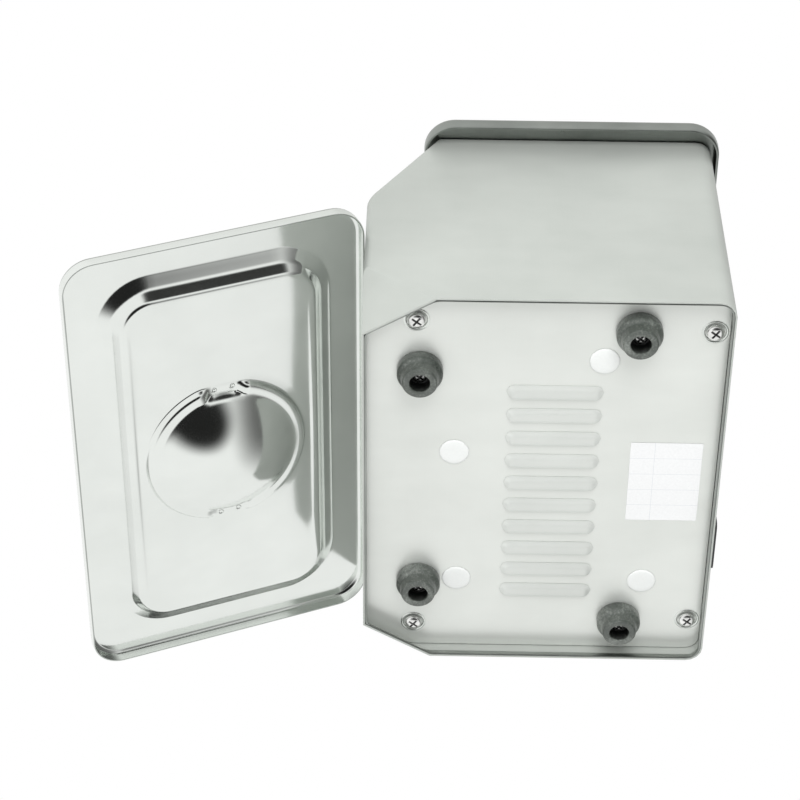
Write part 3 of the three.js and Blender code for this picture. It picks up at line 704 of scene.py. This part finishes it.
FOOT_NAMES = ("front_right", "front_left", "rear_right", "rear_left")
for foot_name in FOOT_NAMES:
    foot_lo, foot_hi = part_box("foot_" + foot_name)
    at = Matrix.Translation(((foot_lo.x + foot_hi.x) / 2, (foot_lo.y + foot_hi.y) / 2, 0))
    foot = turned("foot_" + foot_name + "_moulded", [
        (2.2, 8.1, 0), (5.2, 8.1, 0.3), (5.2, 0.7, 0.3), (5.6, 0.02, 0.3), (8.4, 0.02, 0.2), (9.15, 0.7, 0.6),
        (9.75, 5.4, 0.9), (11.2, 6.9, 0.8), (11.95, 8.0, 0.5), (11.95, 12.4, 0.3), (11.6, 12.9, 0.2), (2.2, 12.9, 0),
        (2.2, 8.1, 0)], 72, at)
    finish_piece(foot, RUBBER, "bath", ["foot_" + foot_name], sharp=40)
    # The foot screws take the darker zinc, painted shade.
    phillips_screw("foot_screw_" + foot_name + "_head", "foot_screw_" + foot_name, 3.75, 2.1, 0.0057,
                   0.62, 1.9, 12.8, ZINC_PAINTED_SHADE)
    refined("foot_nut_" + foot_name, ZINC, 0.25)
    screw_lo, screw_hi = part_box("plate_screw_" + foot_name)
    phillips_screw("plate_screw_" + foot_name + "_head", "plate_screw_" + foot_name, 4.7, 2.35,
                   screw_lo.z, 0.56, 1.6, 10.2)
    at = Matrix.Translation(((screw_lo.x + screw_hi.x) / 2, (screw_lo.y + screw_hi.y) / 2, PLATE_UNDER))
    # Painted highlight: the ring is the dimple's real edge, but its lighter, glossier pan steel is painted highlight.
    ring = turned("dimple_ring_painted_highlight_" + foot_name, [
        (5.2, 0.5, 0), (5.7, -0.02, 0.2), (6.3, -0.2, 0.2), (6.8, 0.0, 0.05), (6.8, 0.3, 0), (5.2, 0.8, 0),
        (5.2, 0.5, 0)], 72, at)
    finish_piece(ring, STEEL_PAN, "bath", slot="casing_steel", sharp=35)

for letter in "abcd":
    plug_lo, plug_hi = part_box("hole_plug_" + letter)
    at = Matrix.Translation(((plug_lo.x + plug_hi.x) / 2, (plug_lo.y + plug_hi.y) / 2, plug_lo.z))
    plug = turned("hole_plug_" + letter + "_cap", [
        (0, 0, 0), (5.2, 0.0, 1.5), (7.2, 0.22, 0.6), (7.85, 0.62, 0.25), (7.85, 0.88, 0.05), (5.6, 0.88, 0),
        (5.6, 3.2, 0.3), (5.0, 3.85, 0.3), (0, 3.85, 0)], 64, at)
    finish_piece(plug, WHITE, "bath", ["hole_plug_" + letter], sharp=35)


# ---------------------------------------------------------------- label
def make_label():
    lo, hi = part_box("rating_label")
    bm = bmesh.new()
    steps_x, steps_y = 30, 24
    verts = {}
    for i in range(steps_x + 1):
        for j in range(steps_y + 1):
            u, v = i / steps_x, j / steps_y
            x = lo.x + (hi.x - lo.x) * u
            y = lo.y + (hi.y - lo.y) * v
            edge = min(u, 1 - u) * (hi.x - lo.x), min(v, 1 - v) * (hi.y - lo.y)
            lift = 0.05 * MM * (1 - smooth(min(edge) / (4 * MM)))
            verts[i, j] = bm.verts.new((x, y, lo.z + 0.12 * MM - lift))
    for i in range(steps_x):
        for j in range(steps_y):
            bm.faces.new((verts[i, j], verts[i, j + 1], verts[i + 1, j + 1], verts[i + 1, j]))
    sticker = from_bmesh("label_sticker", bm, recalculate=False)
    add_sheet(sticker, 0.08)
    apply_modifiers(sticker)
    finish_piece(sticker, PAPER, "bath", ["rating_label"], sharp=50)


make_label()


# ---------------------------------------------------------------- pan
def make_pan():
    keys = [
        (90, 38, 20, -99.2, 0), (96, 45, 23, -99.2, 0), (107.4, 56.4, 29, -99.2, 11), (115.6, 64.6, 33, -2.2, 1.6),
        (118.4, 67.4, 34, 0, 1.6), (126, 74.5, 24, 0, 0), (130.2, 78.7, 16, 0, 0.6), (132.0, 80.5, 16.6, -0.8, 1.2),
        (132.0, 80.5, 16.6, -9.0, 0),
    ]
    rings = [[(p.x, p.y, z) for p in rectangle(hx, hy, r)] for hx, hy, r, z in rounded_profile(keys, 5)]
    place = Matrix.Translation((PAN_X, PAN_Y, pan_hi.z))
    pan = skin("pan_shell", rings, place, 0.8)
    finish_piece(pan, STEEL_PAN, "pan", ["pan"], sharp=55)
    # Painted shade: faces under the rim's top that face sideways or down get the darker pan steel.
    pan.data.materials.append(STEEL_HEM_PAINTED_SHADE)
    for face in pan.data.polygons:
        if pan_hi.z - 12 * MM < face.center.z < pan_hi.z - 0.6 * MM and face.normal.z < 0.05:
            face.material_index = 1
    keys = [
        (131.9, 80.4, 16.5, -0.9, 0), (132.45, 80.95, 16.95, -2.4, 0.8), (132.45, 80.95, 16.95, -7.6, 1.2),
        (131.9, 80.4, 16.5, -9.45, 0.6), (130.9, 79.4, 15.7, -9.45, 0),
    ]
    rings = [[(p.x, p.y, z) for p in rectangle(hx, hy, r)] for hx, hy, r, z in rounded_profile(keys, 4)]
    # The hem roll also gets the darker pan steel, painted shade.
    hem = skin("pan_hem_roll", rings, place, 0.25, False)
    return finish_piece(hem, STEEL_HEM_PAINTED_SHADE, "pan", slot="polished_steel", sharp=70)


make_pan()


# ---------------------------------------------------------------- lid
DOME_R = 37.5
FLOOR = -9.0
LEDGE = -12.0


def seat(x, y):
    """1 on the two strap seats at the dish's ends, 0 elsewhere."""
    return (1 - smooth((abs(y) - 9.6) / 1.3)) if abs(x) > 25 else 0.0


def make_lid():
    rings = []
    for f in [0.06, 0.14, 0.22, 0.3, 0.38, 0.46, 0.54, 0.62, 0.7, 0.78, 0.85, 0.91, 0.96]:
        z = LEDGE - 12.0 * (1 - f * f) * (1 - 0.04 * f)
        rings.append([(p.x, p.y, z) for p in circle(DOME_R * f)])
    ledge = [(DOME_R * 0.99, LEDGE - 0.35), (DOME_R + 0.5, LEDGE - 0.05), (38.8, LEDGE), (40.4, LEDGE), (41.6, LEDGE),
             (42.4, LEDGE + 0.12), (43.0, LEDGE + 0.6), (43.6, LEDGE + 1.6), (44.1, FLOOR - 0.6), (44.7, FLOOR - 0.12),
             (45.6, FLOOR)]
    for radius, z in ledge:
        ring = []
        for p in circle(radius):
            s = seat(p.x, p.y) * smooth((radius - DOME_R * 0.97) / 1.6)
            ring.append((p.x, p.y, z + (FLOOR - z) * s * 0.93))
        rings.append(ring)
    inner = circle(45.6)
    edge = rectangle(100.5, 49.5, 14)
    for i in range(1, 12):
        t = i / 12
        ring = []
        for a, b in zip(inner, edge):
            p = a.lerp(b, t)
            bow = 0.5 * math.sin(math.pi * t) + 0.25 * smooth(t)
            ring.append((p.x, p.y, FLOOR + bow * 0.55))
        rings.append(ring)
    keys = [
        (100.5, 49.5, 14, FLOOR + 0.1, 0), (103.0, 52.0, 16.5, FLOOR + 0.1, 2.0), (107.6, 56.6, 22, -3.4, 2.6),
        (112.6, 61.6, 27.4, -1.1, 2.0), (114.8, 63.8, 29, 0, 1.5), (123, 71.9, 21, -0.05, 0),
        (130.4, 78.9, 16.6, 0, 0.7), (132.5, 81, 17, -1.3, 1.4),
        (132.5, 81, 17, -7.4, 0),
    ]
    for hx, hy, r, z in rounded_profile(keys, 5):
        rings.append([(p.x, p.y, z) for p in rectangle(hx, hy, r)])
    lid = skin("lid_shell", rings, LID_PLACE, 0.8)
    finish_piece(lid, STEEL_LID, "lid", ["lid"], sharp=55)
    bead = [(132.1, 80.6, 16.7, -0.9, 0), (132.48, 80.98, 16.98, -2.0, 0.6), (132.48, 80.98, 16.98, -7.1, 0.3),
            (132.2, 80.7, 16.8, -7.48, 0.2), (131.7, 80.2, 16.3, -7.48, 0)]
    rings = [[(p.x, p.y, z) for p in rectangle(hx, hy, r)] for hx, hy, r, z in rounded_profile(bead, 3)]
    edge = skin("lid_hem_edge", rings, LID_PLACE, 0.1, False)
    # The rolled edge gets the darker lid steel, painted shade.
    return finish_piece(edge, STEEL_ROLL_PAINTED_SHADE, "lid", slot="polished_steel", sharp=70)


def make_strap():
    """Flat strap over the dish, arched in the middle, with rolled long edges."""
    keys = [(-54, FLOOR + 1.0, 0), (-43.2, FLOOR + 1.0, 4), (-33.6, FLOOR + 4.4, 4), (33.6, FLOOR + 4.4, 4),
            (43.2, FLOOR + 1.0, 4), (54, FLOOR + 1.0, 0)]
    line = rounded_profile(keys, 6)
    bm = bmesh.new()
    rows = []
    for k, (x, z) in enumerate(line):
        end = min(x + 54, 54 - x)
        half = 9.9 - (2.2 * (1 - smooth(end / 3.0)))
        row = []
        for i in range(13):
            t = -1 + 2 * i / 12
            roll = 0.35 * smooth((abs(t) - 0.8) / 0.2) * smooth((48 - abs(x)) / 8)
            row.append(bm.verts.new((x * MM, half * t * MM, (z + 0.25 - roll) * MM)))
        rows.append(row)
    for a, b in zip(rows, rows[1:]):
        for i in range(12):
            bm.faces.new((a[i], b[i], b[i + 1], a[i + 1]))
    strap = from_bmesh("lid_strap", bm)
    add_sheet(strap, 1.2)
    add_bevel(strap, 0.25, 50)
    apply_modifiers(strap)
    strap.data.transform(LID_PLACE)
    return finish_piece(strap, STEEL_LID, "lid", ["lid_handle"], sharp=45)


def make_weld_dots():
    """Spot-weld marks on the inner side of the two strap seats."""
    for k, (x, y) in enumerate([(41, -5.2), (41.3, 4.8), (-41.2, -4.6), (-40.9, 5.4)]):
        at = LID_PLACE @ Matrix.Translation((x * MM, y * MM, (FLOOR - 0.95) * MM)) @ Matrix.Rotation(math.pi, 4, "X")
        dot = turned(f"weld_dot_{k + 1}", [
            (1.75, -0.3, 0), (1.7, 0.06, 0.1), (1.45, 0.3, 0.15), (1.1, 0.26, 0.2), (0.5, 0.02, 0.3), (0, 0, 0),
        ], 28, at)
        finish_piece(dot, STEEL_LID, "lid", slot="polished_steel", sharp=60)


make_lid()
make_strap()
make_weld_dots()


# ---------------------------------------------------------------- controls and inlet
refined("control_panel", PANEL, 0.2)
refined("mains_inlet", BLACK, 0.5, 2)
refined("switch_body", BLACK, 0.35, 2)
refined("switch_rocker", BLACK_GLOSS, 0.35, 3)
refined("thermostat_body", BLACK, 0.4, 2)
refined("thermostat_nut", BRASS, 0.25)
for pin_name in ("earth", "live", "neutral"):
    refined("inlet_pin_" + pin_name, BRASS, 0.3, 2)
refined("terminal_block", CERAMIC, 0.8, 3)
refined("thermal_cutout", BLACK, 0.5, 3)
refined("heat_shield", ALUMINIUM, 0.3)
refined("heater_plate", ALUMINIUM, 0.5)
refined("insulation_pad", FELT, 1.2, 3)


def make_knob():
    """Skirted knob with a fluted grip and a raised white pointer line."""
    segments = 180
    keys = [(3.2, 4.25, 0), (15.4, 4.25, 0.4), (16.95, 4.9, 0.5), (16.95, 7.6, 0.9), (14.2, 10.2, 1.6),
            (12.7, 19.0, 0.9), (11.4, 20.4, 0.8), (0, 20.45, 0)]
    rings = rounded_profile(keys, 5)
    bm = bmesh.new()
    loops = []
    for r, z in rings:
        loop = []
        for i in range(segments):
            a = 2 * math.pi * i / segments
            depth = 0.55 * smooth((z - 9.6) / 2.0) * smooth((20.0 - z) / 1.2)
            flute = depth * (0.5 + 0.5 * math.cos(18 * a)) ** 2
            rr = max(0.0, r - flute) * MM
            loop.append(bm.verts.new((rr * math.cos(a), rr * math.sin(a), z * MM)))
        loops.append(loop)
    for a, b in zip(loops, loops[1:]):
        for i in range(segments):
            j = (i + 1) % segments
            bm.faces.new((a[i], a[j], b[j], b[i]))
    bmesh.ops.remove_doubles(bm, verts=bm.verts, dist=1e-7)
    place = SLOPE_PLACE @ Matrix.Translation((KNOB_X, CONTROL_V, 0))
    knob = from_bmesh("knob_moulding", bm, place)
    finish_piece(knob, BLACK, "knob", ["thermostat_knob"], sharp=40)
    pointer = bmesh.new()
    bmesh.ops.create_cube(pointer, size=1.0)
    size = Matrix.Diagonal((1.4 * MM, 8.4 * MM, 0.6 * MM, 1))
    bmesh.ops.transform(pointer, matrix=Matrix.Translation((0, 8.6 * MM, 20.6 * MM)) @ size, verts=pointer.verts)
    bmesh.ops.bevel(pointer, geom=pointer.edges[:], offset=0.2 * MM, segments=2, affect="EDGES")
    line = from_bmesh("knob_pointer", pointer, place)
    finish_piece(line, WHITE, "knob", slot="white_plastic")


TICK_R, NUMBER_R = 18.7, 22.3
MARKS, SWEEP = 9, 270


def dial_marks():
    """Tick marks and plain numbers round the knob."""
    place = SLOPE_PLACE @ Matrix.Translation((KNOB_X, CONTROL_V, PANEL_T * MM))
    for k in range(MARKS):
        angle = math.radians(90 - SWEEP / (MARKS - 1) * k)
        bm = bmesh.new()
        bmesh.ops.create_cube(bm, size=1.0)
        length = 1.8 if k else 2.4
        size = Matrix.Diagonal((length * MM, 0.45 * MM, 0.12 * MM, 1))
        spot = Matrix.Rotation(angle, 4, "Z") @ Matrix.Translation((TICK_R * MM, 0, 0.06 * MM))
        bmesh.ops.transform(bm, matrix=spot @ size, verts=bm.verts)
        tick = from_bmesh(f"dial_tick_{k}", bm, place)
        finish_piece(tick, INK, "bath", slot="black_plastic")
        curve = bpy.data.curves.new(f"dial_number_{k}", "FONT")
        curve.body = str(k)
        curve.size = 4.0 * MM
        curve.extrude = 0.05 * MM
        curve.align_x = "CENTER"
        curve.align_y = "CENTER"
        text = new_object(f"dial_number_{k}_text", curve)
        bpy.context.view_layer.update()
        mesh = bpy.data.meshes.new_from_object(text.evaluated_get(bpy.context.evaluated_depsgraph_get()))
        bpy.data.objects.remove(text)
        number = new_object(f"dial_number_{k}", mesh)
        spot = Matrix.Translation((
            NUMBER_R * MM * math.cos(angle), NUMBER_R * MM * math.sin(angle), 0.06 * MM))
        mesh.transform(place @ spot)
        finish_piece(number, INK, "bath", slot="black_plastic")


def make_lamp():
    place = SLOPE_PLACE @ Matrix.Translation((0, CONTROL_V, 0))
    bezel = turned("lamp_bezel_ring", [
        (3.2, -14, 0), (3.9, -14, 0), (3.9, 1.1, 0), (6.4, 1.1, 0.2), (6.4, 2.2, 0.5), (5.5, 3.0, 0.4),
        (4.7, 3.0, 0.2), (4.7, 2.1, 0), (3.2, 2.1, 0), (3.2, -14, 0)], 56, place)
    finish_piece(bezel, ZINC, "bath", ["lamp_bezel"], sharp=35)
    lens = turned("lamp_lens_dome", [
        (0, 2.4, 0), (4.3, 2.4, 0.1), (4.3, 3.2, 0.5), (3.2, 4.9, 1.2), (0, 5.38, 0)], 56, place)
    finish_piece(lens, AMBER, "bath", ["lamp_lens"], sharp=50)


make_knob()
dial_marks()
make_lamp()


# ---------------------------------------------------------------- stage
def make_floor():
    """Plain pale floor, seen from above and only by the camera; from below, and for all light, it is clear."""
    bpy.ops.mesh.primitive_plane_add(size=14, location=(0, 0, -0.0006))
    floor = bpy.context.object
    floor.name = "studio_floor"
    material = bpy.data.materials.new("studio_floor")
    material.use_nodes = True
    tree = material.node_tree
    tree.nodes.clear()
    pale = add_node(tree, "ShaderNodeBsdfDiffuse")
    pale.inputs["Color"].default_value = (0.86, 0.865, 0.865, 1)
    front = add_node(tree, "ShaderNodeMath", operation="SUBTRACT")
    front.inputs[0].default_value = 1.0
    tree.links.new(add_node(tree, "ShaderNodeNewGeometry").outputs["Backfacing"], front.inputs[1])
    both = add_node(tree, "ShaderNodeMath", operation="MULTIPLY")
    tree.links.new(front.outputs[0], both.inputs[0])
    tree.links.new(add_node(tree, "ShaderNodeLightPath").outputs["Is Camera Ray"], both.inputs[1])
    mix = add_node(tree, "ShaderNodeMixShader")
    tree.links.new(both.outputs[0], mix.inputs["Fac"])
    tree.links.new(add_node(tree, "ShaderNodeBsdfTransparent").outputs[0], mix.inputs[1])
    tree.links.new(pale.outputs[0], mix.inputs[2])
    tree.links.new(mix.outputs[0], add_node(tree, "ShaderNodeOutputMaterial").inputs["Surface"])
    floor.data.materials.append(material)


def make_world():
    """Studio that is plain white to the camera and, as light, has soft patches of (direction, inner, outer, level)."""
    world = bpy.data.worlds.new("studio")
    bpy.context.scene.world = world
    world.use_nodes = True
    tree = world.node_tree
    tree.nodes.clear()

    coords = add_node(tree, "ShaderNodeTexCoord")
    patches = [
        ((0.0, 1.0, 0.0), 25, 60, 0.14),
        ((-0.5, -0.8, 0.0), 10, 28, 0.3),
        ((0.2, 0.17, -0.965), 18, 35, 0.015),
        ((0.92, 0.33, -0.22), 10, 24, 0.03),
        ((0.0, 0.0, 1.0), 10, 40, 0.75),
    ]
    level = add_node(tree, "ShaderNodeRGB")
    level.outputs[0].default_value = (0.955, 0.96, 0.95, 1)
    colour = level.outputs[0]
    for direction, inner, outer, value in patches:
        aim = Vector(direction).normalized()
        dot = add_node(tree, "ShaderNodeVectorMath", operation="DOT_PRODUCT")
        dot.inputs[1].default_value = aim
        tree.links.new(coords.outputs["Generated"], dot.inputs[0])
        fade = add_node(tree, "ShaderNodeMapRange", interpolation_type="SMOOTHSTEP")
        fade.inputs["From Min"].default_value = math.cos(math.radians(outer))
        fade.inputs["From Max"].default_value = math.cos(math.radians(inner))
        tree.links.new(dot.outputs["Value"], fade.inputs["Value"])
        mix = add_node(tree, "ShaderNodeMixRGB")
        mix.inputs["Color2"].default_value = (value, value * 1.01, value * 0.98, 1)
        tree.links.new(fade.outputs["Result"], mix.inputs["Fac"])
        tree.links.new(colour, mix.inputs["Color1"])
        colour = mix.outputs["Color"]
    seen = add_node(tree, "ShaderNodeBackground")
    seen.inputs["Color"].default_value = (1, 1, 1, 1)
    lit = add_node(tree, "ShaderNodeBackground")
    tree.links.new(colour, lit.inputs["Color"])
    path = add_node(tree, "ShaderNodeLightPath")
    choice = add_node(tree, "ShaderNodeMixShader")
    tree.links.new(path.outputs["Is Camera Ray"], choice.inputs["Fac"])
    tree.links.new(lit.outputs[0], choice.inputs[1])
    tree.links.new(seen.outputs[0], choice.inputs[2])
    tree.links.new(choice.outputs[0], add_node(tree, "ShaderNodeOutputWorld").inputs["Surface"])


def area_light(name, place, target, size, power):
    data = bpy.data.lights.new(name, "AREA")
    data.shape = "RECTANGLE"
    data.size, data.size_y = size
    data.energy = power
    light = new_object(name, data)
    light.location = place
    light.visible_glossy = False
    light.rotation_euler = (Vector(target) - Vector(place)).to_track_quat("-Z", "Y").to_euler()


make_floor()
make_world()
area_light("key_low", (0.1, 0.35, -1.4), (0, 0.05, 0.08), (0.8, 0.6), 6.5)
area_light("key_side", (1.25, 0.2, -0.6), (0, 0.05, 0.1), (0.8, 0.8), 19)
area_light("key_high", (-0.2, -0.9, 1.4), (0, 0, 0.08), (0.9, 0.9), 8)
area_light("fill_rear", (-0.7, 1.1, 1.0), (0, 0, 0.08), (0.9, 0.7), 9)


# ---------------------------------------------------------------- camera
def make_camera():
    data = bpy.data.cameras.new("camera")
    data.lens = 108.9
    data.sensor_width = 36
    camera = new_object("camera", data)
    place = Vector((CASE_X + 0.7952, CASE_Y - 0.0601, -0.9966))
    back = Vector((0.5937, 0.0116, -0.8046)).normalized()
    up = Vector((0.8047, -0.0157, 0.5935))
    right = up.cross(back).normalized()
    up = back.cross(right)
    turn = Matrix((right, up, back)).transposed().to_4x4()
    camera.matrix_world = Matrix.Translation(place) @ turn
    data.clip_start = 0.01
    data.clip_end = 50
    bpy.context.scene.camera = camera


make_camera()
bpy.context.scene.view_settings.view_transform = "Standard"
